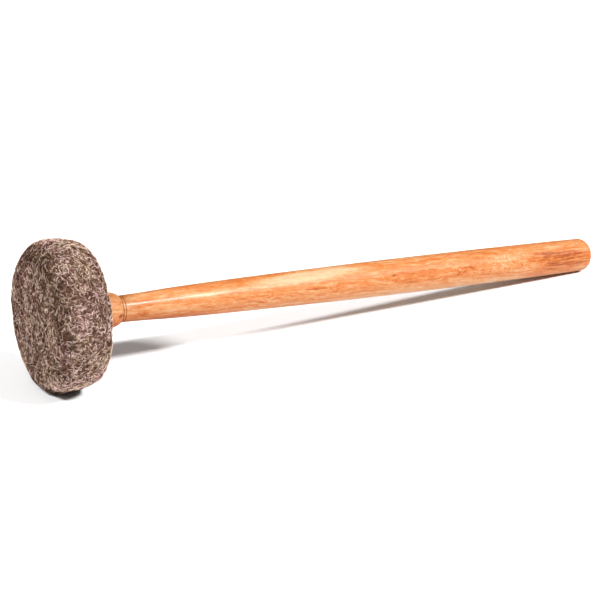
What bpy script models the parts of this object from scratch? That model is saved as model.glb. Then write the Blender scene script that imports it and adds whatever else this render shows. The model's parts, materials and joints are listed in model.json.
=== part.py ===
"""Felt-headed drum and gong beater, lying at rest: its head on its rim, its handle on its butt.

Every turned piece is modelled round its own local Z axis, which is the handle's axis: z = 0 at the
striking face and z growing towards the butt. One empty then lays all of them down together.
Units are metres, +Z up in the world.
"""
import math

import bmesh
import bpy
from mathutils import Euler, Vector

# ---- driving dimensions ----
HEAD_RADIUS = 0.0475
HEAD_THICKNESS = 0.032        # from the striking face to the end of the rim's slope
BEATER_LENGTH = 0.4368
FACE_EDGE = (0.0117, 0.0121)  # rounding of the striking face's edge: along the axis, across it
REAR_EDGE = (0.0209, 0.0047)  # gentle slope of the rim towards the back: along, across
BACK_DOME = 0.0090            # how far the back of the head rises round the handle
COVER_WALL = 0.0040           # thickness of the felt cover
REST_PRESS = 0.0008           # how far the felt is pressed flat where the head lies
GAP = 0.0003                  # clearance between touching pieces

# ---- handle: stations along the axis ----
SHANK_RADIUS = 0.0105         # plain stretch inside the head
COLLAR_START = 0.0418
COLLAR_CREST = 0.0458
COLLAR_RADIUS = 0.0115
COLLAR_FULLNESS = 0.58        # 0.5 is a quarter of an ellipse, more is closer to a cone
GROOVES = (0.0552, 0.0568)    # the first one ends the collar
GROOVE_DEPTH = 0.0005
GROOVE_HALF_WIDTH = 0.0004
NECK_RADIUS = 0.0085
BUTT_RADIUS = 0.0120
BUTT_EDGE = (0.0064, 0.0064)  # rounding of the butt's edge: along the axis, across it
BUTT_CROWN = 0.0010
SWELL = [                     # radius of the neck and grip, read as one smooth curve
    (0.068, 0.0087),
    (0.085, 0.0096),
    (0.112, 0.0104),
    (0.150, 0.0112),
    (0.205, 0.0119),
    (0.265, 0.0124),
    (0.330, 0.0125),
    (0.395, 0.0123),
]

# ---- inside the head ----
CORE_FRONT = 0.0113
CORE_BACK = 0.0249
CORE_RADIUS = 0.0300
CORE_CHAMFER = 0.0010
TENON_RADIUS = 0.0070
TENON_END = 0.0156
RECESS_FLOOR = 0.0150         # floor of the recess for the washer and the screw's head
RECESS_RADIUS = 0.0100
WASHER_RADIUS = 0.0092
WASHER_THICKNESS = 0.0012
SCREW_RADIUS = 0.0020
SCREW_HEAD_RADIUS = 0.0042
SCREW_HEAD_HEIGHT = 0.0016
SCREW_LENGTH = 0.0240         # under the head
SCREW_TIP = 0.0040
SLOT_WIDTH = 0.0009
SLOT_DEPTH = 0.0007
WRAP_TURNS = 2.6
WRAP_THICKNESS = 0.0029
FRONT_PAD_RADIUS = 0.0385
REAR_PAD_RADIUS = 0.0395

# ---- fineness ----
HEAD_STEPS = 48
HANDLE_STEPS = 96             # fine, because its lacquer shows every facet
SMALL_STEPS = 20
SWELL_STEPS = 24              # rings along the neck and grip

COLLECTION_NAME = "felt_beater"
CUTTER_COLLECTION_NAME = "cutters"


# ---- scene helpers ----
def clear_scene():
    for old in list(bpy.data.objects):
        bpy.data.objects.remove(old, do_unlink=True)


def new_collection(name):
    collection = bpy.data.collections.new(name)
    bpy.context.scene.collection.children.link(collection)
    return collection


def principled(name, color, roughness, metallic=0.0):
    material = bpy.data.materials.new(name)
    material.use_nodes = True
    shader = material.node_tree.nodes["Principled BSDF"]
    shader.inputs["Base Color"].default_value = (*color, 1.0)
    shader.inputs["Roughness"].default_value = roughness
    shader.inputs["Metallic"].default_value = metallic
    return material


def add_object(name, mesh, collection, material, parent=None):
    piece = bpy.data.objects.new(name, mesh)
    collection.objects.link(piece)
    piece.parent = parent
    mesh.materials.append(material)
    return piece


def turned(name, profile, steps, collection, material, parent):
    """A solid turned round Z from (radius, z) points that run down its outer side."""
    mesh = bpy.data.meshes.new(name)
    points = [(radius, 0.0, z) for radius, z in profile]
    edges = [(i, i + 1) for i in range(len(points) - 1)]
    if profile[0][0] > 0.0:
        edges.append((len(points) - 1, 0))
    mesh.from_pydata(points, edges, [])
    piece = add_object(name, mesh, collection, material, parent)
    screw = piece.modifiers.new("turn", "SCREW")
    screw.axis = "Z"
    screw.steps = steps
    screw.render_steps = steps
    screw.use_merge_vertices = True
    screw.merge_threshold = 0.00001
    screw.use_smooth_shade = True
    return piece


# ---- outlines ----
def arc(centre, size, start, end, count):
    """Points on an ellipse, its size given across and along the axis, angles in degrees."""
    points = []
    for i in range(count + 1):
        angle = math.radians(start + (end - start) * i / count)
        radius = centre[0] + size[0] * math.cos(angle)
        z = centre[1] + size[1] * math.sin(angle)
        points.append((max(radius, 0.0), z))
    return points


def smooth_curve(stations, x):
    """Catmull-Rom curve through the stations, read at x."""
    last = len(stations) - 2
    i = 0
    while i < last and x > stations[i + 1][0]:
        i += 1
    x0, y0 = stations[i]
    x1, y1 = stations[i + 1]
    before = stations[max(i - 1, 0)]
    after = stations[min(i + 2, len(stations) - 1)]
    slope0 = (y1 - before[1]) / (x1 - before[0])
    slope1 = (after[1] - y0) / (after[0] - x0)
    span = x1 - x0
    t = (x - x0) / span
    return (
        (2 * t**3 - 3 * t**2 + 1) * y0
        + (t**3 - 2 * t**2 + t) * span * slope0
        + (3 * t**2 - 2 * t**3) * y1
        + (t**3 - t**2) * span * slope1
    )


def head_outline(inset):
    """The head's form from the mouth at its back to the striking face.

    With an inset it is the inside of the cover: every face is moved in by it, and the roundings
    shrink by half of it, as thick felt does where it is drawn round a corner.
    """
    rim = HEAD_RADIUS - inset
    back = HEAD_THICKNESS - inset * 0.5
    slope_length, slope_fall = REAR_EDGE
    edge_length, edge_fall = FACE_EDGE
    edge_size = (edge_fall - inset * 0.5, edge_length - inset * 0.5)
    widest = inset + edge_size[1]
    mouth = SHANK_RADIUS + GAP
    top = HEAD_THICKNESS + BACK_DOME - inset
    shoulder = rim - slope_fall
    outline = [(mouth, top)]
    for share in (0.12, 0.40, 0.68, 0.90):
        radius = mouth + (shoulder - mouth) * share
        rise = (top - back) * math.cos(share * math.pi / 2) ** 1.2
        outline.append((radius, back + rise))
    outline += arc((shoulder, widest), (slope_fall, back - widest), 75, 0, 6)
    outline += arc((rim - edge_size[0], inset + edge_size[1]), edge_size, -12, -90, 7)
    outline.append((0.0, inset))
    return outline


def swell_outline():
    """Neck and grip, from the butt's end to the collar's."""
    start = GROOVES[-1] + 3 * GROOVE_HALF_WIDTH
    end = BEATER_LENGTH - BUTT_CROWN - BUTT_EDGE[0]
    stations = [(start, NECK_RADIUS)] + SWELL + [(end, BUTT_RADIUS)]
    outline = []
    for i in range(SWELL_STEPS + 1):
        z = end + (start - end) * i / SWELL_STEPS
        outline.append((smooth_curve(stations, z), z))
    return outline


def groove_outline():
    """Two fine turned grooves between the collar and the neck."""
    outline = []
    for centre in reversed(GROOVES):
        outline.append((NECK_RADIUS, centre + GROOVE_HALF_WIDTH))
        outline.append((NECK_RADIUS - GROOVE_DEPTH, centre))
        outline.append((NECK_RADIUS, centre - GROOVE_HALF_WIDTH))
    return outline


def collar_outline():
    """The collar's bead, from its foot at the first groove up to its crest."""
    foot = GROOVES[0] - GROOVE_HALF_WIDTH
    outline = []
    for share in (0.94, 0.82, 0.66, 0.48, 0.26, 0.0):
        bulge = (1.0 - share**2) ** COLLAR_FULLNESS
        radius = NECK_RADIUS + (COLLAR_RADIUS - NECK_RADIUS) * bulge
        outline.append((radius, COLLAR_CREST + (foot - COLLAR_CREST) * share))
    return outline


def handle_outline():
    edge_length, edge_fall = BUTT_EDGE
    edge_z = BEATER_LENGTH - BUTT_CROWN - edge_length
    pilot = SCREW_RADIUS + GAP
    pilot_end = RECESS_FLOOR - GAP + SCREW_LENGTH
    outline = [(0.0, BEATER_LENGTH)]
    outline += arc((BUTT_RADIUS - edge_fall, edge_z), (edge_fall, edge_length), 90, 10, 8)
    outline += swell_outline()
    outline += groove_outline()
    outline += collar_outline()
    outline += [
        (COLLAR_RADIUS - 0.0004, COLLAR_START + 0.0012),
        (COLLAR_RADIUS - 0.0012, COLLAR_START),
        (SHANK_RADIUS, COLLAR_START),
        (SHANK_RADIUS, CORE_BACK + GAP),
        (TENON_RADIUS, CORE_BACK + GAP),
        (TENON_RADIUS, TENON_END + 0.0005),
        (TENON_RADIUS - 0.0005, TENON_END),
        (pilot, TENON_END),
        (pilot, pilot_end - 0.0020),
        (0.0, pilot_end),
    ]
    return outline


def core_outline():
    bore = TENON_RADIUS + GAP
    chamfer = CORE_CHAMFER
    return [
        (bore, CORE_BACK),
        (CORE_RADIUS - chamfer, CORE_BACK),
        (CORE_RADIUS, CORE_BACK - chamfer),
        (CORE_RADIUS, CORE_FRONT + chamfer),
        (CORE_RADIUS - chamfer, CORE_FRONT),
        (RECESS_RADIUS, CORE_FRONT),
        (RECESS_RADIUS, RECESS_FLOOR),
        (bore, RECESS_FLOOR),
    ]


def washer_outline():
    back = RECESS_FLOOR - GAP
    front = back - WASHER_THICKNESS
    hole = SCREW_RADIUS + GAP
    return [(hole, back), (WASHER_RADIUS, back), (WASHER_RADIUS, front), (hole, front)]


def screw_outline():
    under = RECESS_FLOOR - 2 * GAP - WASHER_THICKNESS
    tip = under + SCREW_LENGTH
    head = arc((0.0, under), (SCREW_HEAD_RADIUS, -SCREW_HEAD_HEIGHT), 20, 90, 4)
    return [
        (0.0, tip),
        (SCREW_RADIUS * 0.5, tip - SCREW_TIP * 0.4),
        (SCREW_RADIUS, tip - SCREW_TIP),
        (SCREW_RADIUS, under),
        (SCREW_HEAD_RADIUS, under),
        *head[:-1],
        (0.0, under - SCREW_HEAD_HEIGHT),
    ]


def front_pad_outline():
    front = COVER_WALL + GAP
    back = CORE_FRONT - GAP
    round_size = (0.0040, 0.0040)
    rounding = arc((FRONT_PAD_RADIUS - round_size[0], front + round_size[1]), round_size, 0, -90, 4)
    return [(0.0, back), (FRONT_PAD_RADIUS, back), *rounding, (0.0, front)]


def rear_pad_outline():
    front = CORE_BACK + GAP
    hole = SHANK_RADIUS + GAP
    rise = HEAD_THICKNESS + BACK_DOME - COVER_WALL - GAP - 0.0004
    return [
        (hole, rise),
        (hole + 0.0030, rise - 0.0004),
        (hole + 0.0150, front + 0.0066),
        (REAR_PAD_RADIUS - 0.0040, front + 0.0026),
        (REAR_PAD_RADIUS, front + 0.0010),
        (REAR_PAD_RADIUS - 0.0006, front),
        (hole, front),
    ]


# ---- pieces that aren't plainly turned ----
def add_rim_wrap(collection, material, parent):
    """A felt strip wound in a spiral round the core, as a ribbon with a Solidify modifier."""
    pitch = WRAP_THICKNESS + GAP
    count = round(WRAP_TURNS * HEAD_STEPS)
    mesh = bpy.data.meshes.new("rim_wrap")
    cage = bmesh.new()
    path = []
    for i in range(count + 1):
        turns = WRAP_TURNS * i / count
        angle = 2 * math.pi * turns
        radius = CORE_RADIUS + GAP + WRAP_THICKNESS / 2 + pitch * turns
        point = (radius * math.cos(angle), radius * math.sin(angle), CORE_FRONT)
        path.append(cage.verts.new(point))
    edges = [cage.edges.new(pair) for pair in zip(path, path[1:])]
    raised = bmesh.ops.extrude_edge_only(cage, edges=edges)["geom"]
    top = [item for item in raised if isinstance(item, bmesh.types.BMVert)]
    bmesh.ops.translate(cage, verts=top, vec=(0.0, 0.0, CORE_BACK - CORE_FRONT))
    cage.to_mesh(mesh)
    cage.free()
    piece = add_object("rim_wrap", mesh, collection, material, parent)
    wall = piece.modifiers.new("felt", "SOLIDIFY")
    wall.thickness = WRAP_THICKNESS
    wall.offset = 0.0
    wall.use_even_offset = True
    return piece


def add_box_cutter(name, size, location, collection, parent=None):
    mesh = bpy.data.meshes.new(name)
    cage = bmesh.new()
    bmesh.ops.create_cube(cage, size=1.0)
    bmesh.ops.scale(cage, vec=size, verts=cage.verts)
    cage.to_mesh(mesh)
    cage.free()
    cutter = bpy.data.objects.new(name, mesh)
    collection.objects.link(cutter)
    cutter.parent = parent
    cutter.location = location
    cutter.hide_render = True
    cutter.display_type = "WIRE"
    return cutter


def cut(piece, cutter):
    boolean = piece.modifiers.new("cut_" + cutter.name, "BOOLEAN")
    boolean.operation = "DIFFERENCE"
    boolean.solver = "EXACT"
    boolean.object = cutter


# ---- how the beater lies ----
def reach_down(outline, tilt):
    """How far an outline reaches below the axis's start when the axis falls by the tilt."""
    return max(radius * math.cos(tilt) + z * math.sin(tilt) for radius, z in outline)


def resting_tilt(head, stick):
    """The tilt at which the pressed rim and the butt touch the same plane, by halving."""
    low = 0.0
    high = math.radians(20)
    for _ in range(50):
        middle = (low + high) / 2
        rim = reach_down(head, middle) - REST_PRESS
        if reach_down(stick, middle) < rim:
            low = middle
        else:
            high = middle
    return (low + high) / 2


def resting_place(head, stick, tilt):
    """The striking face's centre, so that the object's box is centred on the origin."""
    left = min(z * math.cos(tilt) - radius * math.sin(tilt) for radius, z in head)
    right = max(z * math.cos(tilt) + radius * math.sin(tilt) for radius, z in stick)
    height = reach_down(head, tilt) - REST_PRESS
    return Vector((-(left + right) / 2, 0.0, height))


def main():
    clear_scene()
    parts = new_collection(COLLECTION_NAME)
    cutters = new_collection(CUTTER_COLLECTION_NAME)

    wool = principled("wool_felt", (0.23, 0.18, 0.15), 0.95)
    pad_felt = principled("pad_felt", (0.62, 0.57, 0.48), 0.95)
    lacquered_wood = principled("lacquered_hardwood", (0.72, 0.36, 0.16), 0.35)
    core_wood = principled("core_hardwood", (0.60, 0.42, 0.25), 0.6)
    steel = principled("plated_steel", (0.62, 0.62, 0.60), 0.3, 1.0)

    outside = head_outline(0.0)
    inside = head_outline(COVER_WALL)
    stick = handle_outline()
    tilt = resting_tilt(outside, stick)

    beater = bpy.data.objects.new("beater_axis", None)
    parts.objects.link(beater)
    beater.location = resting_place(outside, stick, tilt)
    beater.rotation_euler = Euler((0.0, math.pi / 2 + tilt, 0.0))

    cover_outline = inside[::-1] + outside
    cover = turned("felt_cover", cover_outline, HEAD_STEPS, parts, wool, beater)
    turned("handle", stick, HANDLE_STEPS, parts, lacquered_wood, beater)
    turned("core_disc", core_outline(), HEAD_STEPS, parts, core_wood, beater)
    turned("front_pad", front_pad_outline(), HEAD_STEPS, parts, pad_felt, beater)
    turned("rear_pad", rear_pad_outline(), HEAD_STEPS, parts, pad_felt, beater)
    turned("screw_washer", washer_outline(), SMALL_STEPS, parts, steel, beater)
    screw = turned("core_screw", screw_outline(), SMALL_STEPS, parts, steel, beater)
    add_rim_wrap(parts, pad_felt, beater)

    table_size = (0.2, 0.2, 0.02)
    table = add_box_cutter("rest_cutter", table_size, (beater.location.x, 0.0, -0.01), cutters)
    cut(cover, table)
    slot_top = RECESS_FLOOR - 2 * GAP - WASHER_THICKNESS - SCREW_HEAD_HEIGHT
    slot_size = (0.02, SLOT_WIDTH, 2 * SLOT_DEPTH)
    slot = add_box_cutter("slot_cutter", slot_size, (0.0, 0.0, slot_top), cutters, beater)
    cut(screw, slot)
    bpy.context.view_layer.update()


main()
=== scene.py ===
"""Felt-headed beater: the looks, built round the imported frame.

The felt head is a lumpy, pressed skin with tens of thousands of separate wool fibres lying on it.
The turned handle is the CAD node with a lacquered hardwood material. Units are metres.
"""

import json
import math

import bmesh
import bpy
import numpy as np
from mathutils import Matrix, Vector, noise
from mathutils.bvhtree import BVHTree


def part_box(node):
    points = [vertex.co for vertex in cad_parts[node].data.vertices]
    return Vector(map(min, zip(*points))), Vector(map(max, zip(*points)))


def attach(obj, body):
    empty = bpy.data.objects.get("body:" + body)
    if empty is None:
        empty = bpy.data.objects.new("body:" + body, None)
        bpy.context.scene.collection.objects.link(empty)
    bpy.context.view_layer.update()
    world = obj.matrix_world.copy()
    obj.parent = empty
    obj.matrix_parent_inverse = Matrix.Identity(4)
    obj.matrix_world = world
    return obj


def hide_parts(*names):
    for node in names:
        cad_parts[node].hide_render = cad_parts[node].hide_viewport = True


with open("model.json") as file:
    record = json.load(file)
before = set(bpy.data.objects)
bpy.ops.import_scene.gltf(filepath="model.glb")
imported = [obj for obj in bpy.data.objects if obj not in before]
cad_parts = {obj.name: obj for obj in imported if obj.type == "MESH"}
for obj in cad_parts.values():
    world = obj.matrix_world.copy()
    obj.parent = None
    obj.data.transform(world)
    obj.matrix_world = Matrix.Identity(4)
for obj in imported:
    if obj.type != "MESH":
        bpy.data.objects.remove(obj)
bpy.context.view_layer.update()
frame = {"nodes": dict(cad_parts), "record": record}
MM = 0.001

# ---- the beater's own axis, from the frame ----
MOUNTS = {mount["name"]: mount for mount in frame["record"]["mounts"]}
START = Vector(MOUNTS["striking_face"]["pos_m"])
AXIS = -Vector(MOUNTS["striking_face"]["axis"]).normalized()
TILT = math.atan2(-AXIS.z, AXIS.x)
HEAD_LOW, HEAD_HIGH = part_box("felt_cover")
HEAD_RADIUS = (HEAD_HIGH.y - HEAD_LOW.y) / 2
HEAD_MIDDLE = START + AXIS * HEAD_RADIUS * 0.38    # about the middle of the head's thickness

# ---- camera ----
CAMERA_PLACE = Vector((-0.52864, -0.81945, 0.38548))
CAMERA_YAW = math.radians(31.341)      # from +Y towards +X
CAMERA_PITCH = math.radians(20.677)    # below the horizon
CAMERA_FOV = math.radians(22.0)

# ---- light, as white floor = 1 ----
KEY_LIGHT = 3.3
LEFT_LIGHT = 2.5
ROOM_LIGHT = 0.42                      # straight up; it fades towards the horizon

# ---- felt skin ----
SKIN_VOXEL = 1.1 * MM
SKIN_SINK = 0.70 * MM                  # room for the fibres on top
LOW_WEAR = 1.6 * MM                    # the rim is worn flatter beside the place where it rests,
WEAR_HEIGHT = 16.0 * MM                # up to this height
WEAR_SIDE = (8.0 * MM, 16.0 * MM)      # from the middle out, from none to all of it
SMOOTH_MOUTH = (12.0 * MM, 18.0 * MM)  # radii: no lumps inside the first, all outside the second
SKIN_LUMPS = (                         # (size of the lumps, how far they move the felt)
    (17.0 * MM, 0.70 * MM),
    (6.0 * MM, 0.34 * MM),
    (2.2 * MM, 0.13 * MM),
)

# ---- wool fibres: many short ones, and a few long thin strays ----
FIBRES = 72000
FIBRE_LENGTH = 3.0 * MM
FIBRE_WIDTH = 0.255 * MM
FIBRE_RISE = 0.85 * MM
STRAYS = 2200
STRAY_LENGTH = 7.5 * MM
STRAY_WIDTH = 0.13 * MM
STRAY_RISE = 1.7 * MM
LOOSE_SHARE = 0.7                      # how many fibres have one end sticking out of the felt
ROOT_DEPTH = 0.15 * MM                 # how deep the other ends are in the felt
SWIRL_SIZE = 24.0 * MM                 # fibres this close lie roughly the same way
SWIRL_TURN = 1.7                       # how far that way turns from patch to patch
STRAYING = 1.15                        # how far each one strays from that, in radians
FIBRE_CURVE = 0.03                     # radians a step, the same way all along
FIBRE_KINK = 0.04                      # radians a step, at random
BARE_RING = 15.0 * MM                  # no fibre inside this radius, where the collar goes in,
BARE_DEPTH = 20.0 * MM                 # from this far behind the struck face
FIBRE_POINTS = 5
FIBRE_SIDES = 3
PIECE_FIBRES = 7400                    # the most fibres in one piece

# ---- how the wool is sorted: patches, dirt, darkening, and painted shade and light that make dark wool likelier or rarer ----
SORTING = 0.65                         # how strongly all of it sorts the wool
DARK_PATCH, DARK_PATCHES = 9.0 * MM, 0.85
GREY_PATCH, GREY_PATCHES = 15.0 * MM, 2.8
FACE_DIRT_AND_SHADE = 0.90                       # the struck face: darker wool, partly dirt and partly painted shade for the face turned from the light
FACE_GREY = 0.25
EDGE_DARKENING = 0.60                       # a darker ring round that face's edge, on top of the face's darkening
EDGE_RADIUS = 36.0 * MM
EDGE_WIDTH = 4.0 * MM
# darker wool towards the top
TOP_DARKENING = 0.55
TOP_HEIGHTS = (66.0 * MM, 86.0 * MM)   # from none to all of it
LOW_PAINTED_BOUNCE = 0.98                       # painted light: paler wool low down, for light bounced off the floor, most so at the bottom
LOW_HEIGHTS = (0.0, 30.0 * MM)         # from all to none of it
RESTING_PAINTED_SHADE = 5.0                     # painted shade: black wool where the head rests, for the contact shadow under it
RESTING_HEIGHTS = (6.5 * MM, 9.0 * MM)


# ================= small tools =================
def axis_coordinates(points):
    """(distance along the axis, radius) of world points, as numpy arrays."""
    offset = points - np.array(START)
    along = offset @ np.array(AXIS)
    across = offset - along[:, None] * np.array(AXIS)
    return along, np.linalg.norm(across, axis=1)


def between(values, limits):
    """0 below the first limit, 1 above the second, and even between them."""
    return np.clip((values - limits[0]) / (limits[1] - limits[0]), 0.0, 1.0)


def mesh_points(mesh):
    points = np.zeros(len(mesh.vertices) * 3)
    mesh.vertices.foreach_get("co", points)
    return points.reshape(-1, 3)


def mesh_normals(mesh):
    normals = np.zeros(len(mesh.vertices) * 3)
    mesh.vertex_normals.foreach_get("vector", normals)
    return normals.reshape(-1, 3)


def set_points(mesh, points):
    mesh.vertices.foreach_set("co", np.ascontiguousarray(points, dtype=np.float32).ravel())
    mesh.update()


def link(piece):
    bpy.context.scene.collection.objects.link(piece)
    return piece


def apply_modifiers(piece):
    graph = bpy.context.evaluated_depsgraph_get()
    mesh = bpy.data.meshes.new_from_object(piece.evaluated_get(graph))
    piece.modifiers.clear()
    piece.data = mesh
    return piece


class Graph:
    """A material's node graph, written as short expressions."""

    def __init__(self, name):
        self.material = bpy.data.materials.new(name)
        self.material.use_nodes = True
        self.tree = self.material.node_tree
        self.shader = self.tree.nodes["Principled BSDF"]

    def node(self, kind, inputs=None, **settings):
        node = self.tree.nodes.new(kind)
        for key, value in settings.items():
            setattr(node, key, value)
        for key, value in (inputs or {}).items():
            self.feed(node.inputs[key], value)
        return node

    def feed(self, socket, value):
        if isinstance(value, bpy.types.NodeSocket):
            self.tree.links.new(value, socket)
        else:
            socket.default_value = value

    def math(self, operation, a, b=0.0, c=0.0, clamp=False):
        node = self.tree.nodes.new("ShaderNodeMath")
        node.operation = operation
        node.use_clamp = clamp
        for socket, value in zip(node.inputs, (a, b, c)):
            self.feed(socket, value)
        return node.outputs[0]

    def vector(self, operation, a, b=(0.0, 0.0, 0.0)):
        node = self.tree.nodes.new("ShaderNodeVectorMath")
        node.operation = operation
        self.feed(node.inputs[0], a)
        self.feed(node.inputs[1], b)
        return node.outputs["Value"] if operation in ("LENGTH", "DISTANCE") else node.outputs[0]

    def combine(self, x, y, z):
        return self.node("ShaderNodeCombineXYZ", {"X": x, "Y": y, "Z": z}).outputs[0]

    def separate(self, vector):
        return self.node("ShaderNodeSeparateXYZ", {"Vector": vector}).outputs

    def noise(self, vector, scale, detail=2.0, roughness=0.5, distortion=0.0):
        inputs = {"Vector": vector, "Scale": scale, "Detail": detail}
        inputs.update({"Roughness": roughness, "Distortion": distortion})
        return self.node("ShaderNodeTexNoise", inputs).outputs["Fac"]

    def remap(self, value, low, high, to_low=0.0, to_high=1.0):
        inputs = {"Value": value, "From Min": low, "From Max": high}
        inputs.update({"To Min": to_low, "To Max": to_high})
        return self.node("ShaderNodeMapRange", inputs, interpolation_type="SMOOTHSTEP").outputs[0]

    def mix(self, factor, a, b, blend="MIX"):
        node = self.tree.nodes.new("ShaderNodeMix")
        node.data_type = "RGBA"
        node.blend_type = blend
        self.feed(node.inputs[0], factor)
        self.feed(node.inputs[6], a)
        self.feed(node.inputs[7], b)
        return node.outputs[2]

    def ramp(self, factor, stops):
        node = self.tree.nodes.new("ShaderNodeValToRGB")
        ramp = node.color_ramp
        while len(ramp.elements) < len(stops):
            ramp.elements.new(0.5)
        for element, (place, color) in zip(ramp.elements, stops):
            element.position = place
            element.color = (*color, 1.0)
        self.feed(node.inputs[0], factor)
        return node.outputs[0]

    def bump(self, height, strength, distance):
        inputs = {"Height": height, "Strength": strength, "Distance": distance}
        self.feed(self.shader.inputs["Normal"], self.node("ShaderNodeBump", inputs).outputs[0])

    def axis_place(self):
        """Coordinates in the beater's own axes, in millimetres: along, side, lift."""
        world = self.node("ShaderNodeTexCoord").outputs["Object"]
        offset = self.vector("SUBTRACT", world, tuple(START))
        turned = self.node(
            "ShaderNodeVectorRotate",
            {"Vector": offset, "Angle": -TILT},
            rotation_type="Y_AXIS",
        ).outputs[0]
        scaled = self.node("ShaderNodeVectorMath", {0: turned, 3: 1.0 / MM}, operation="SCALE")
        return scaled.outputs[0]


# ================= materials =================
# Marks on the handle, in mm: middle along the axis, middle round the girth (0 is the -Y side, up is
# positive), half length, half width, how far it climbs round the girth for each mm along. Last
# comes how much it lightens the wood (FIGURE) or how strongly it streaks it dark (BUNDLES).
GIRTH_RADIUS = 12.0                            # turns an angle into mm round the girth
FIGURE = (
    (188.0, 12.0, 64.0, 6.5, 0.02, 0.50),      # the long pale band
    (78.0, 13.0, 36.0, 5.0, 0.0, 0.18),        # neck: pale top, darker side and under-side
    (78.0, 7.0, 28.0, 6.0, 0.0, -0.10),
    (78.0, -4.0, 30.0, 7.0, 0.0, -0.06),
    (112.0, 8.0, 24.0, 5.0, 0.0, 0.16),        # pale patch ahead of the band
    (275.0, 3.0, 40.0, 7.5, -0.04, -0.20),     # redder wood between band and flame figure
    (352.0, 6.5, 26.0, 7.0, 0.0, 0.22),        # pale ground of the flame figure
    (395.0, 13.5, 44.0, 5.0, 0.0, 0.16),       # clean wood above the dark bundle
    (404.0, 4.0, 40.0, 10.0, 0.0, -0.15),      # darker ground of the bundle, and below it
    (404.0, -3.0, 42.0, 6.0, 0.0, -0.16),
)
BUNDLES = (
    (402.0, 5.2, 36.0, 9.0, 0.01, 1.0),        # the broad bundle at the butt
    (312.0, 2.5, 13.0, 4.2, 0.12, 0.7),        # start of the flame figure
    (248.0, 11.8, 15.0, 2.4, 0.03, 0.5),       # short strokes above the end of the pale band
    (199.0, 2.3, 28.0, 1.5, 0.02, 1.05),       # a row of dark dashes under the pale band
    (137.0, 1.0, 22.0, 1.6, -0.28, 1.1),       # two long strokes that fall towards the butt
    (152.0, 1.8, 22.0, 1.4, -0.24, 1.0),
    (113.0, 11.0, 12.0, 3.6, 0.0, 0.4),        # orange patch before the pale band
    (68.5, -3.0, 7.0, 5.5, 0.0, 0.6),          # mottled spot on the neck
)
KNOT = (52.4, -1.0, 2.7, 1.8, 0.15)            # on the collar
FLECK = (255.0, 4.8, 2.2, 1.2)


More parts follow.
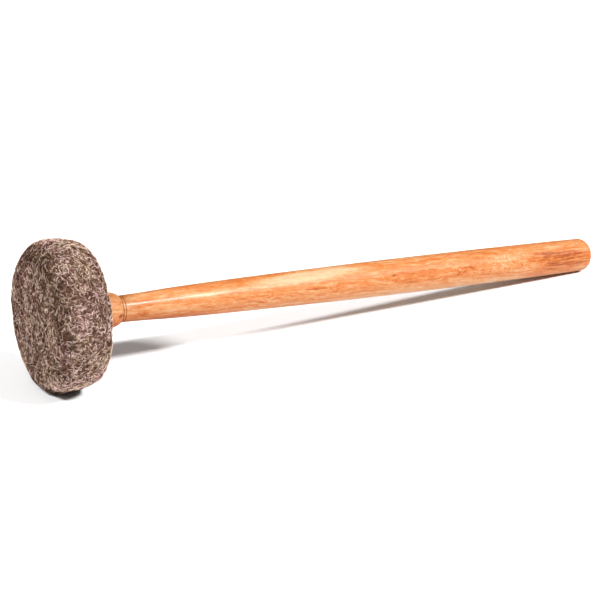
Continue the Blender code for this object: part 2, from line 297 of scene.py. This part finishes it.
def lacquered_wood():
    """Orange hardwood: long wandering streaks, curly figure, dark bundles, pores, satin lacquer, and
    painted light and shade on the under-side.
    """
    g = Graph("lacquered_wood")
    place = g.axis_place()
    along, side, lift = g.separate(place)
    girth = g.math("MULTIPLY", g.math("ARCTAN2", lift, g.math("MULTIPLY", side, -1.0)), GIRTH_RADIUS)

    def wander(scale, amount, shift):
        moved = g.vector("MULTIPLY", g.vector("ADD", place, shift), scale)
        return g.math("MULTIPLY", g.math("SUBTRACT", g.noise(moved, 1.0, 2.0), 0.5), amount)

    def add(tone, amount, weight=1.0):
        return g.math("ADD", tone, g.math("MULTIPLY", amount, weight))

    # the grain leans and waves a little along the shaft, most of all in the flame figure
    figured = g.remap(along, 235.0, 290.0, 0.35, 1.0)
    figured = g.math("MULTIPLY", figured, g.remap(along, 345.0, 385.0, 1.0, 0.3))
    bend = g.math("MULTIPLY", wander((0.022, 0.05, 0.05), 16.0, (0.0, 0.0, 0.0)), figured)
    bend = g.math("ADD", bend, wander((0.05, 0.09, 0.09), 2.2, (40.0, 0.0, 9.0)))
    sway = g.math("MULTIPLY", along, 0.03)
    sway = g.math("ADD", wander((0.018, 0.05, 0.05), 9.0, (0.0, 70.0, 0.0)), sway)
    grain = g.combine(along, g.math("ADD", side, bend), g.math("ADD", lift, sway))

    # growth rings round a pith outside the handle, and streaks from broad to fine
    pith = g.vector("ADD", g.vector("MULTIPLY", grain, (0.0, 1.0, 1.0)), (0.0, 21.0, 33.0))
    rings = g.math("DIVIDE", g.vector("LENGTH", pith), 2.9)
    ring = g.math("MULTIPLY", g.math("PINGPONG", rings, 0.5), 2.0)
    ring = g.math("POWER", ring, 2.4)
    broad = g.noise(g.vector("MULTIPLY", grain, (0.016, 0.10, 0.10)), 1.0, 3.0, 0.6)
    streaks = g.noise(g.vector("MULTIPLY", grain, (0.032, 0.75, 0.75)), 1.0, 4.0, 0.62)
    lines = g.noise(g.vector("MULTIPLY", grain, (0.06, 2.4, 2.4)), 1.0, 3.0, 0.65)
    strands = g.noise(g.vector("MULTIPLY", grain, (0.020, 1.30, 1.30)), 1.0, 3.0, 0.7)
    mottle = g.noise(g.vector("MULTIPLY", grain, (0.20, 0.42, 0.42)), 1.0, 4.0, 0.65, 0.6)
    curl = g.noise(g.vector("MULTIPLY", grain, (0.42, 0.24, 0.24)), 1.0, 3.0, 0.6, 1.2)
    pores = g.noise(g.vector("MULTIPLY", grain, (0.45, 6.5, 6.5)), 1.0, 1.0)
    ragged = g.math("MULTIPLY", g.math("SUBTRACT", streaks, 0.5), 1.3)

    def spot(middle, around, length, width, slope=0.0, edge=ragged):
        """1 in the middle of a soft patch of the surface, 0 outside it; all in millimetres."""
        u = g.math("DIVIDE", g.math("SUBTRACT", along, middle), length)
        leaning = g.math("MULTIPLY_ADD", g.math("SUBTRACT", along, middle), -slope, girth)
        v = g.math("DIVIDE", g.math("SUBTRACT", leaning, around), width)
        distance = g.math("ADD", g.vector("LENGTH", g.combine(u, v, 0.0)), edge)
        return g.remap(distance, 0.35, 0.95, 1.0, 0.0)

    tone = g.math("MULTIPLY_ADD", g.math("SUBTRACT", broad, 0.5), 0.9, 0.53)
    tone = add(tone, g.math("SUBTRACT", streaks, 0.5), 1.0)
    tone = add(tone, g.math("SUBTRACT", lines, 0.5), 1.15)
    tone = add(tone, g.math("SUBTRACT", mottle, 0.5), 0.80)
    tone = add(tone, g.math("SUBTRACT", g.math("MULTIPLY", ring, streaks), 0.14), -0.22)
    tone = g.math("MAXIMUM", tone, 0.34)

    # what this piece of wood shows: pale bands, flame figure, a paler collar
    for middle, around, length, width, slope, weight in FIGURE:
        tone = add(tone, spot(middle, around, length, width, slope), weight)
    tone = add(tone, g.remap(along, 50.0, 56.0, 1.0, 0.0), 0.06)
    flame = g.math("MAXIMUM", spot(312.0, 3.0, 20.0, 6.0, 0.1), spot(350.0, 4.0, 36.0, 12.0))
    tone = add(tone, g.math("MULTIPLY", g.math("SUBTRACT", curl, 0.5), flame), 1.2)

    # the under-side is darker at the neck end, paler in the middle (painted light bounced off the
    # floor) and darker at the butt (painted shade from the shadow beneath)
    under = g.remap(girth, -1.0, -8.0)
    tone = add(tone, g.math("MULTIPLY", under, g.remap(along, 90.0, 150.0, 1.0, 0.0)), -0.20)
    tone = add(tone, g.math("MULTIPLY", under, g.remap(along, 180.0, 230.0)), 0.24)
    tone = add(tone, g.math("MULTIPLY", under, g.remap(along, 360.0, 385.0)), -0.28)

    # dark strands in bundles, and the small dark marks
    dark = 0.0
    for middle, around, length, width, slope, weight in BUNDLES:
        mark = g.math("MULTIPLY", spot(middle, around, length, width, slope), weight)
        dark = g.math("MAXIMUM", dark, mark)
    tone = add(tone, g.math("MULTIPLY", dark, g.remap(strands, 0.36, 0.60)), -0.34)
    knot = g.math("MAXIMUM", spot(*KNOT, edge=0.0), g.math("MULTIPLY", spot(*FLECK), 0.4))
    tone = add(tone, knot, -0.6)

    color = g.ramp(
        tone,
        [
            (0.02, (0.200, 0.042, 0.006)),
            (0.24, (0.340, 0.082, 0.010)),
            (0.42, (0.390, 0.119, 0.030)),
            (0.56, (0.417, 0.155, 0.047)),
            (0.74, (0.436, 0.208, 0.087)),
            (1.0, (0.462, 0.306, 0.178)),
        ],
    )
    color = g.mix(g.math("MULTIPLY", knot, 0.85), color, (0.12, 0.025, 0.003, 1.0))
    pore = g.remap(pores, 0.64, 0.73)
    color = g.mix(g.math("MULTIPLY", pore, 0.5), color, (0.33, 0.10, 0.03, 1.0))
    g.feed(g.shader.inputs["Base Color"], color)
    g.feed(g.shader.inputs["Roughness"], g.remap(lines, 0.3, 0.7, 0.42, 0.55))
    height = g.math("SUBTRACT", g.math("MULTIPLY", streaks, 0.4), g.math("MULTIPLY", pore, 0.5))
    g.bump(height, 0.18, 0.0001)
    g.shader.inputs["Specular IOR Level"].default_value = 0.22
    g.shader.inputs["Coat Weight"].default_value = 0.07
    g.feed(g.shader.inputs["Coat Roughness"], g.remap(mottle, 0.35, 0.65, 0.12, 0.22))
    return g.material


def bare_wood():
    g = Graph("core_wood")
    place = g.axis_place()
    grain = g.noise(g.vector("MULTIPLY", place, (0.35, 0.05, 0.9)), 1.0, 4.0, 0.6)
    fine = g.noise(g.vector("MULTIPLY", place, (2.0, 0.3, 5.0)), 1.0, 2.0)
    tone = g.math("MULTIPLY_ADD", fine, 0.25, g.math("MULTIPLY", grain, 0.75))
    stops = [(0.3, (0.42, 0.26, 0.13)), (0.5, (0.60, 0.42, 0.24)), (0.7, (0.72, 0.54, 0.34))]
    g.feed(g.shader.inputs["Base Color"], g.ramp(tone, stops))
    g.shader.inputs["Roughness"].default_value = 0.62
    g.bump(tone, 0.3, 0.0002)
    return g.material


def plated_steel():
    g = Graph("plated_steel")
    place = g.axis_place()
    smudge = g.noise(place, 0.35, 3.0, 0.6)
    scratch = g.noise(g.vector("MULTIPLY", place, (0.4, 3.0, 3.0)), 1.0, 2.0)
    stops = [(0.3, (0.50, 0.50, 0.49)), (0.7, (0.68, 0.68, 0.67))]
    g.feed(g.shader.inputs["Base Color"], g.ramp(smudge, stops))
    g.feed(g.shader.inputs["Roughness"], g.remap(scratch, 0.3, 0.7, 0.22, 0.42))
    g.shader.inputs["Metallic"].default_value = 1.0
    g.bump(scratch, 0.15, 0.0001)
    return g.material


def wool_material(name, stops, bump_strength=0.8):
    """Matted wool: short streaks in several directions over a dark ground."""
    g = Graph(name)
    place = g.axis_place()
    matted = None
    for turn in ((1.0, 0.35, 0.35), (0.35, 1.0, 0.35), (0.35, 0.35, 1.0)):
        warped = g.vector("MULTIPLY", place, tuple(1.5 * t for t in turn))
        strand = g.noise(warped, 1.0, 3.0, 0.65, 0.9)
        matted = strand if matted is None else g.math("MAXIMUM", matted, strand)
    cloud = g.noise(place, 0.11, 3.0, 0.6)
    tone = g.math("MULTIPLY_ADD", cloud, 0.35, g.math("MULTIPLY", matted, 0.65))
    g.feed(g.shader.inputs["Base Color"], g.ramp(tone, stops))
    g.shader.inputs["Roughness"].default_value = 0.95
    g.shader.inputs["Specular IOR Level"].default_value = 0.2
    g.bump(matted, bump_strength, 0.0008)
    return g.material


def fibre_material(name, color):
    """One dyed lot of wool: an even colour along the fibre, with scaly, uneven gloss."""
    g = Graph(name)
    place = g.axis_place()
    scales = g.noise(place, 2.4, 2.0)
    g.shader.inputs["Base Color"].default_value = (*color, 1.0)
    g.feed(g.shader.inputs["Roughness"], g.remap(scales, 0.3, 0.7, 0.6, 0.9))
    g.shader.inputs["Specular IOR Level"].default_value = 0.10
    g.bump(scales, 0.2, 0.0001)
    return g.material


def floor_material():
    g = Graph("pale_floor")
    g.shader.inputs["Base Color"].default_value = (0.93, 0.93, 0.93, 1.0)
    g.shader.inputs["Roughness"].default_value = 0.7
    return g.material


# ================= the felt head =================
def outward_share(points, normals):
    """1 on the cover's outside, 0 on its inside and in its mouth."""
    away = points - np.array(HEAD_MIDDLE)
    away /= np.linalg.norm(away, axis=1)[:, None]
    return np.clip(np.einsum("ij,ij->i", away, normals) * 3.0, 0.0, 1.0)


def patches(places, size, shift=(0.0, 0.0, 0.0)):
    """Soft noise over the places, about -0.5 to 0.5, in patches of this size."""
    return np.array([noise.noise(Vector(place) / size + Vector(shift)) for place in places])


def lump_field(points, lumps):
    field = np.zeros(len(points))
    for index, (size, depth) in enumerate(lumps):
        field += depth * patches(points, size, (11.3 * index, 4.1, 7.7))
    return field


def make_skin(material):
    """The felt cover, closed and as thick as the CAD one, with lumps and dents on its outside."""
    mesh = frame["nodes"]["felt_cover"].data.copy()
    skin = link(bpy.data.objects.new("felt_skin", mesh))
    mesh.materials.clear()
    mesh.materials.append(material)
    remesh = skin.modifiers.new("remesh", "REMESH")
    remesh.mode = "VOXEL"
    remesh.voxel_size = SKIN_VOXEL
    smooth = skin.modifiers.new("smooth", "SMOOTH")
    smooth.factor = 0.5
    smooth.iterations = 4
    apply_modifiers(skin)
    mesh = skin.data
    points = mesh_points(mesh)
    normals = mesh_normals(mesh)
    share = outward_share(points, normals)
    height = points[:, 2]
    _, radius = axis_coordinates(points)
    move = (lump_field(points, SKIN_LUMPS) - SKIN_SINK) * share * between(radius, SMOOTH_MOUTH)
    low = 1.0 - between(height, (0.0, WEAR_HEIGHT))
    move -= LOW_WEAR * low * between(np.abs(points[:, 1]), WEAR_SIDE) * share
    move *= between(height, (0.0, 1.2 * MM))       # the resting flat stays flat
    points = points + normals * move[:, None]
    points[:, 2] = np.maximum(points[:, 2], 0.0)
    set_points(mesh, points)
    mesh.shade_smooth()
    return skin


class Surface:
    """The skin's outside, for laying fibres on."""

    def __init__(self, skin):
        mesh = skin.data
        mesh.calc_loop_triangles()
        corners = np.zeros(len(mesh.loop_triangles) * 3, dtype=np.int32)
        mesh.loop_triangles.foreach_get("vertices", corners)
        corners = corners.reshape(-1, 3)
        points = mesh_points(mesh)
        share = outward_share(points, mesh_normals(mesh))
        outside = share[corners].min(axis=1) > 0.5
        self.corners = corners[outside]
        self.points = points
        a, b, c = (points[self.corners[:, i]] for i in range(3))
        areas = np.linalg.norm(np.cross(b - a, c - a), axis=1)
        self.cumulative = np.cumsum(areas) / areas.sum()
        self.tree = BVHTree.FromPolygons(points.tolist(), self.corners.tolist())

    def scatter(self, count, rng):
        index = np.searchsorted(self.cumulative, rng.random(count))
        a, b, c = (self.points[self.corners[index, i]] for i in range(3))
        u = np.sqrt(rng.random(count))[:, None]
        v = rng.random(count)[:, None]
        return a * (1 - u) + b * u * (1 - v) + c * u * v

    def nearest(self, points):
        places = np.empty_like(points)
        normals = np.empty_like(points)
        for i, point in enumerate(points):
            place, normal, _, _ = self.tree.find_nearest(point)
            places[i] = place
            normals[i] = normal
        return places, normals


def unit(vectors):
    return vectors / np.maximum(np.linalg.norm(vectors, axis=1), 1e-9)[:, None]


def lay_lines(surface, count, length, rise, rng):
    """Centre lines that come out of the felt; some dive back in and the loose ones stay out."""
    place, normal = surface.nearest(surface.scatter(count, rng))
    angle = SWIRL_TURN * patches(place, SWIRL_SIZE) + rng.normal(0.0, STRAYING, count)
    helper = unit(np.cross(normal, np.array((0.31, 0.17, 0.94))))
    other = np.cross(normal, helper)
    heading = helper * np.cos(angle)[:, None] + other * np.sin(angle)[:, None]
    spans = length * rng.uniform(0.5, 1.5, count) / (FIBRE_POINTS - 1)
    turn = rng.normal(0.0, FIBRE_CURVE, count)
    top = rise * rng.uniform(0.0, 1.0, count) ** 0.8
    loose = rng.random(count) < LOOSE_SHARE
    lines = np.empty((count, FIBRE_POINTS, 3))
    ups = np.empty((count, FIBRE_POINTS, 3))
    for step in range(FIBRE_POINTS):
        share = step / (FIBRE_POINTS - 1)
        arch = math.sin(math.pi * share)
        height = top * np.where(loose, share, 0.6 * arch**0.6) - ROOT_DEPTH * (1.0 - max(arch, share))
        lines[:, step] = place + normal * height[:, None]
        ups[:, step] = normal
        if step == FIBRE_POINTS - 1:
            break
        side = np.cross(normal, heading)
        bend = turn + rng.normal(0.0, FIBRE_KINK, count)
        heading = unit(heading * np.cos(bend)[:, None] + side * np.sin(bend)[:, None])
        place, normal = surface.nearest(place + heading * spans[:, None])
        heading = unit(heading - normal * np.einsum("ij,ij->i", heading, normal)[:, None])
    along, radius = axis_coordinates(lines[:, FIBRE_POINTS // 2])
    clear = (radius > BARE_RING) | (along < BARE_DEPTH)
    return lines[clear], ups[clear]


def fibre_mesh(name, lines, ups, thickness, material):
    """Three-sided closed tubes along the lines, thin at both ends."""
    count = len(lines)
    tangents = np.gradient(lines, axis=1)
    tangents /= np.maximum(np.linalg.norm(tangents, axis=2), 1e-9)[:, :, None]
    sides = np.cross(tangents, ups)
    sides /= np.maximum(np.linalg.norm(sides, axis=2), 1e-9)[:, :, None]
    tops = np.cross(sides, tangents)
    share = np.linspace(0.0, 1.0, FIBRE_POINTS)
    taper = 0.35 + 0.65 * np.sin(math.pi * share)
    radius = thickness[:, None] * taper[None, :] / 2
    rings = np.empty((count, FIBRE_POINTS, FIBRE_SIDES, 3))
    for corner in range(FIBRE_SIDES):
        angle = math.pi / 2 + 2 * math.pi * corner / FIBRE_SIDES
        offset = sides * math.cos(angle) + tops * math.sin(angle)
        rings[:, :, corner] = lines + offset * radius[:, :, None]
    rings[:, :, :, 2] = np.maximum(rings[:, :, :, 2], 0.02 * MM)
    points = rings.reshape(-1, 3)

    base = np.arange(count)[:, None, None] * FIBRE_POINTS * FIBRE_SIDES
    step = np.arange(FIBRE_POINTS - 1)[None, :, None] * FIBRE_SIDES
    corner = np.arange(FIBRE_SIDES)[None, None, :]
    following = (corner + 1) % FIBRE_SIDES
    quads = np.stack(
        [
            base + step + corner,
            base + step + following,
            base + step + FIBRE_SIDES + following,
            base + step + FIBRE_SIDES + corner,
        ],
        axis=-1,
    ).reshape(-1, 4)
    first = np.arange(count)[:, None] * FIBRE_POINTS * FIBRE_SIDES
    last = first + (FIBRE_POINTS - 1) * FIBRE_SIDES
    caps = np.concatenate([first + np.array((2, 1, 0)), last + np.array((0, 1, 2))])
    mesh = bpy.data.meshes.new(name)
    mesh.vertices.add(len(points))
    mesh.vertices.foreach_set("co", points.astype(np.float32).ravel())
    loops = np.concatenate([quads.ravel(), caps.ravel()]).astype(np.int32)
    mesh.loops.add(len(loops))
    mesh.loops.foreach_set("vertex_index", loops)
    sizes = np.concatenate([np.full(len(quads), 4), np.full(len(caps), 3)])
    starts = np.concatenate([[0], np.cumsum(sizes)[:-1]]).astype(np.int32)
    mesh.polygons.add(len(sizes))
    mesh.polygons.foreach_set("loop_start", starts)
    mesh.update(calc_edges=True)
    mesh.shade_smooth()
    mesh.materials.append(material)
    return link(bpy.data.objects.new(name, mesh))


WOOL_LOTS = (  # name, colour, share, liking for dark patches, liking for grey patches, lift
    ("black", (0.022, 0.008, 0.005), 0.345, 0.9, 0.0, -0.15 * MM),
    ("umber", (0.066, 0.029, 0.017), 0.18, 0.8, 0.2, -0.05 * MM),
    ("brown", (0.135, 0.067, 0.041), 0.10, 0.2, -0.6, 0.0),
    ("taupe", (0.222, 0.117, 0.080), 0.10, -0.2, -0.3, 0.0),
    ("olive", (0.186, 0.118, 0.062), 0.11, 0.0, 1.5, 0.0),
    ("mauve", (0.285, 0.138, 0.116), 0.10, -0.3, -1.5, 0.05 * MM),
    ("fawn", (0.535, 0.350, 0.262), 0.10, -0.7, 0.8, 0.15 * MM),
    ("straw", (0.980, 0.765, 0.605), 0.056, -1.0, 1.2, 0.25 * MM),
    ("blush", (0.980, 0.722, 0.665), 0.056, -1.0, -1.2, 0.25 * MM),
)


def sort_wool(places, ups, rng):
    """Which lot of wool each fibre is: mixed, in patches that lean dark, grey or rosy."""
    _, radius = axis_coordinates(places)
    height = places[:, 2]
    face = np.clip(-(ups @ np.array(AXIS)) * 2.0 - 0.8, 0.0, 1.0)
    edge = np.exp(-(((radius - EDGE_RADIUS) / EDGE_WIDTH) ** 2))
    dark = DARK_PATCHES * patches(places, DARK_PATCH, (5.0, 0.0, 0.0))
    # the struck face: dirt and painted shade, with a darker ring round its edge
    dark += face * (FACE_DIRT_AND_SHADE + EDGE_DARKENING * edge)
    # darker towards the top
    dark += TOP_DARKENING * between(height, TOP_HEIGHTS)
    # painted bounce light from the floor: paler wool low down
    dark -= LOW_PAINTED_BOUNCE * (1.0 - between(height, LOW_HEIGHTS))
    # painted contact shadow: black wool at the very bottom
    dark += RESTING_PAINTED_SHADE * (1.0 - between(height, RESTING_HEIGHTS))
    grey = GREY_PATCHES * patches(places, GREY_PATCH, (0.0, 9.0, 0.0)) + FACE_GREY * face
    weights = np.stack(
        [share * np.exp(SORTING * (a * dark + b * grey)) for _, _, share, a, b, _ in WOOL_LOTS],
        axis=1,
    )
    limits = np.cumsum(weights, axis=1)
    limits /= limits[:, -1:]
    return (rng.random(len(places))[:, None] > limits).sum(axis=1)


def make_fibres(skin):
    surface = Surface(skin)
    rng = np.random.default_rng(4)
    lines, ups = lay_lines(surface, FIBRES, FIBRE_LENGTH, FIBRE_RISE, rng)
    middle = FIBRE_POINTS // 2
    lots = sort_wool(lines[:, middle], ups[:, middle], rng)
    widths = FIBRE_WIDTH * rng.uniform(0.65, 1.25, len(lines))

    stray_lines, stray_ups = lay_lines(surface, STRAYS, STRAY_LENGTH, STRAY_RISE, rng)
    lines = np.concatenate([lines, stray_lines])
    ups = np.concatenate([ups, stray_ups])
    lots = np.concatenate([lots, rng.integers(2, len(WOOL_LOTS), len(stray_lines))])
    widths = np.concatenate([widths, STRAY_WIDTH * rng.uniform(0.7, 1.2, len(stray_lines))])

    pieces = []
    arch = np.sin(np.linspace(0.0, math.pi, FIBRE_POINTS))
    lift = np.array([lot[-1] for lot in WOOL_LOTS])[lots]
    lines = lines + ups * (lift[:, None] * arch)[:, :, None]
    for lot, (name, color, _, _, _, _) in enumerate(WOOL_LOTS):
        material = fibre_material("wool_" + name, color)
        chosen = np.flatnonzero(lots == lot)
        parts = max(1, math.ceil(len(chosen) / PIECE_FIBRES))
        for part, some in enumerate(np.array_split(chosen, parts)):
            label = f"fibres_{name}_{part + 1}"
            pieces.append(fibre_mesh(label, lines[some], ups[some], widths[some], material))
    return pieces


# ================= the hidden felt =================
def make_pad(node, name, material, depth):
    """A pressed felt piece: the CAD one with finer faces and a slightly uneven surface."""
    mesh = frame["nodes"][node].data.copy()
    pad = link(bpy.data.objects.new(name, mesh))
    mesh.materials.clear()
    mesh.materials.append(material)
    cage = bmesh.new()
    cage.from_mesh(mesh)
    bmesh.ops.remove_doubles(cage, verts=cage.verts, dist=0.01 * MM)
    long_edges = [edge for edge in cage.edges if edge.calc_length() > 4.0 * MM]
    bmesh.ops.subdivide_edges(cage, edges=long_edges, cuts=2, use_grid_fill=True)
    bmesh.ops.recalc_face_normals(cage, faces=cage.faces)
    cage.to_mesh(mesh)
    cage.free()
    points = mesh_points(mesh)
    lumps = lump_field(points, ((3.0 * MM, depth),)) - depth * 0.6
    set_points(mesh, points + mesh_normals(mesh) * lumps[:, None])
    mesh.shade_smooth()
    return pad


# ================= stage =================
def add_camera():
    data = bpy.data.cameras.new("camera")
    camera = link(bpy.data.objects.new("camera", data))
    camera.location = CAMERA_PLACE
    camera.rotation_euler = (math.pi / 2 - CAMERA_PITCH, 0.0, -CAMERA_YAW)
    data.angle = CAMERA_FOV
    data.clip_start = 0.01
    bpy.context.scene.camera = camera


def add_sun(name, towards, irradiance, spread):
    """A far soft box: the direction to it, the light it puts on the floor, its apparent size."""
    data = bpy.data.lights.new(name, "SUN")
    towards = Vector(towards).normalized()
    data.energy = irradiance / towards.z
    data.angle = math.radians(spread)
    lamp = link(bpy.data.objects.new(name, data))
    lamp.rotation_euler = towards.to_track_quat("Z", "Y").to_euler()
    return lamp


def add_floor():
    mesh = bpy.data.meshes.new("floor")
    cage = bmesh.new()
    bmesh.ops.create_grid(cage, x_segments=1, y_segments=1, size=8.0)
    cage.to_mesh(mesh)
    cage.free()
    mesh.materials.append(floor_material())
    floor = link(bpy.data.objects.new("floor", mesh))


def add_room():
    """A white room: plain white to the camera, and a soft light that fades towards the horizon."""
    world = bpy.data.worlds.new("studio")
    world.use_nodes = True
    tree = world.node_tree
    background = tree.nodes["Background"]
    background.inputs["Color"].default_value = (1.0, 1.0, 1.0, 1.0)
    split = tree.nodes.new("ShaderNodeSeparateXYZ")
    fade = tree.nodes.new("ShaderNodeMapRange")
    fade.inputs["From Min"].default_value = 0.0
    fade.inputs["From Max"].default_value = 1.0
    fade.inputs["To Min"].default_value = ROOM_LIGHT * 0.15
    fade.inputs["To Max"].default_value = ROOM_LIGHT
    direction = tree.nodes.new("ShaderNodeTexCoord").outputs["Generated"]
    tree.links.new(direction, split.inputs[0])
    tree.links.new(split.outputs["Z"], fade.inputs["Value"])
    seen = tree.nodes.new("ShaderNodeLightPath").outputs["Is Camera Ray"]
    backdrop = tree.nodes.new("ShaderNodeMath")
    backdrop.operation = "MAXIMUM"
    tree.links.new(fade.outputs[0], backdrop.inputs[0])
    tree.links.new(seen, backdrop.inputs[1])
    tree.links.new(backdrop.outputs[0], background.inputs["Strength"])
    bpy.context.scene.world = world


# ================= pieces on the frame =================
def dress_cad_nodes(materials):
    for node, material in materials.items():
        mesh = frame["nodes"][node].data
        mesh.materials.clear()
        mesh.materials.append(material)


# the felt under the fibres: dark wool, kept near black as painted shade in the gaps between fibres
GROUND_STOPS = [
    (0.36, (0.018, 0.008, 0.005)),
    (0.48, (0.045, 0.023, 0.015)),
    (0.60, (0.090, 0.054, 0.038)),
    (0.72, (0.160, 0.104, 0.078)),
]
PAD_STOPS = [
    (0.38, (0.42, 0.37, 0.29)),
    (0.52, (0.60, 0.55, 0.46)),
    (0.68, (0.74, 0.70, 0.61)),
]

# ================= build =================
add_camera()
add_floor()
add_sun("key", (0.42, -0.62, 0.66), KEY_LIGHT, 9.0)
add_sun("left", (-0.80, -0.16, 1.0), LEFT_LIGHT, 11.0)
add_room()
bpy.context.scene.view_settings.view_transform = "Standard"
bpy.context.scene.view_settings.look = "None"

steel = plated_steel()
dress_cad_nodes(
    {
        "handle": lacquered_wood(),
        "core_disc": bare_wood(),
        "core_screw": steel,
        "screw_washer": steel,
    }
)
pad_felt = wool_material("pad_felt", PAD_STOPS, 0.4)

skin = make_skin(wool_material("felt_ground", GROUND_STOPS))
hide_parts("felt_cover")
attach(skin, "root")
for piece in make_fibres(skin):
    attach(piece, "root")

for node, name in (("front_pad", "front_felt"), ("rear_pad", "rear_felt"), ("rim_wrap", "rim_felt")):
    pad = make_pad(node, name, pad_felt, 0.08 * MM)
    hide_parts(node)
    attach(pad, "root")
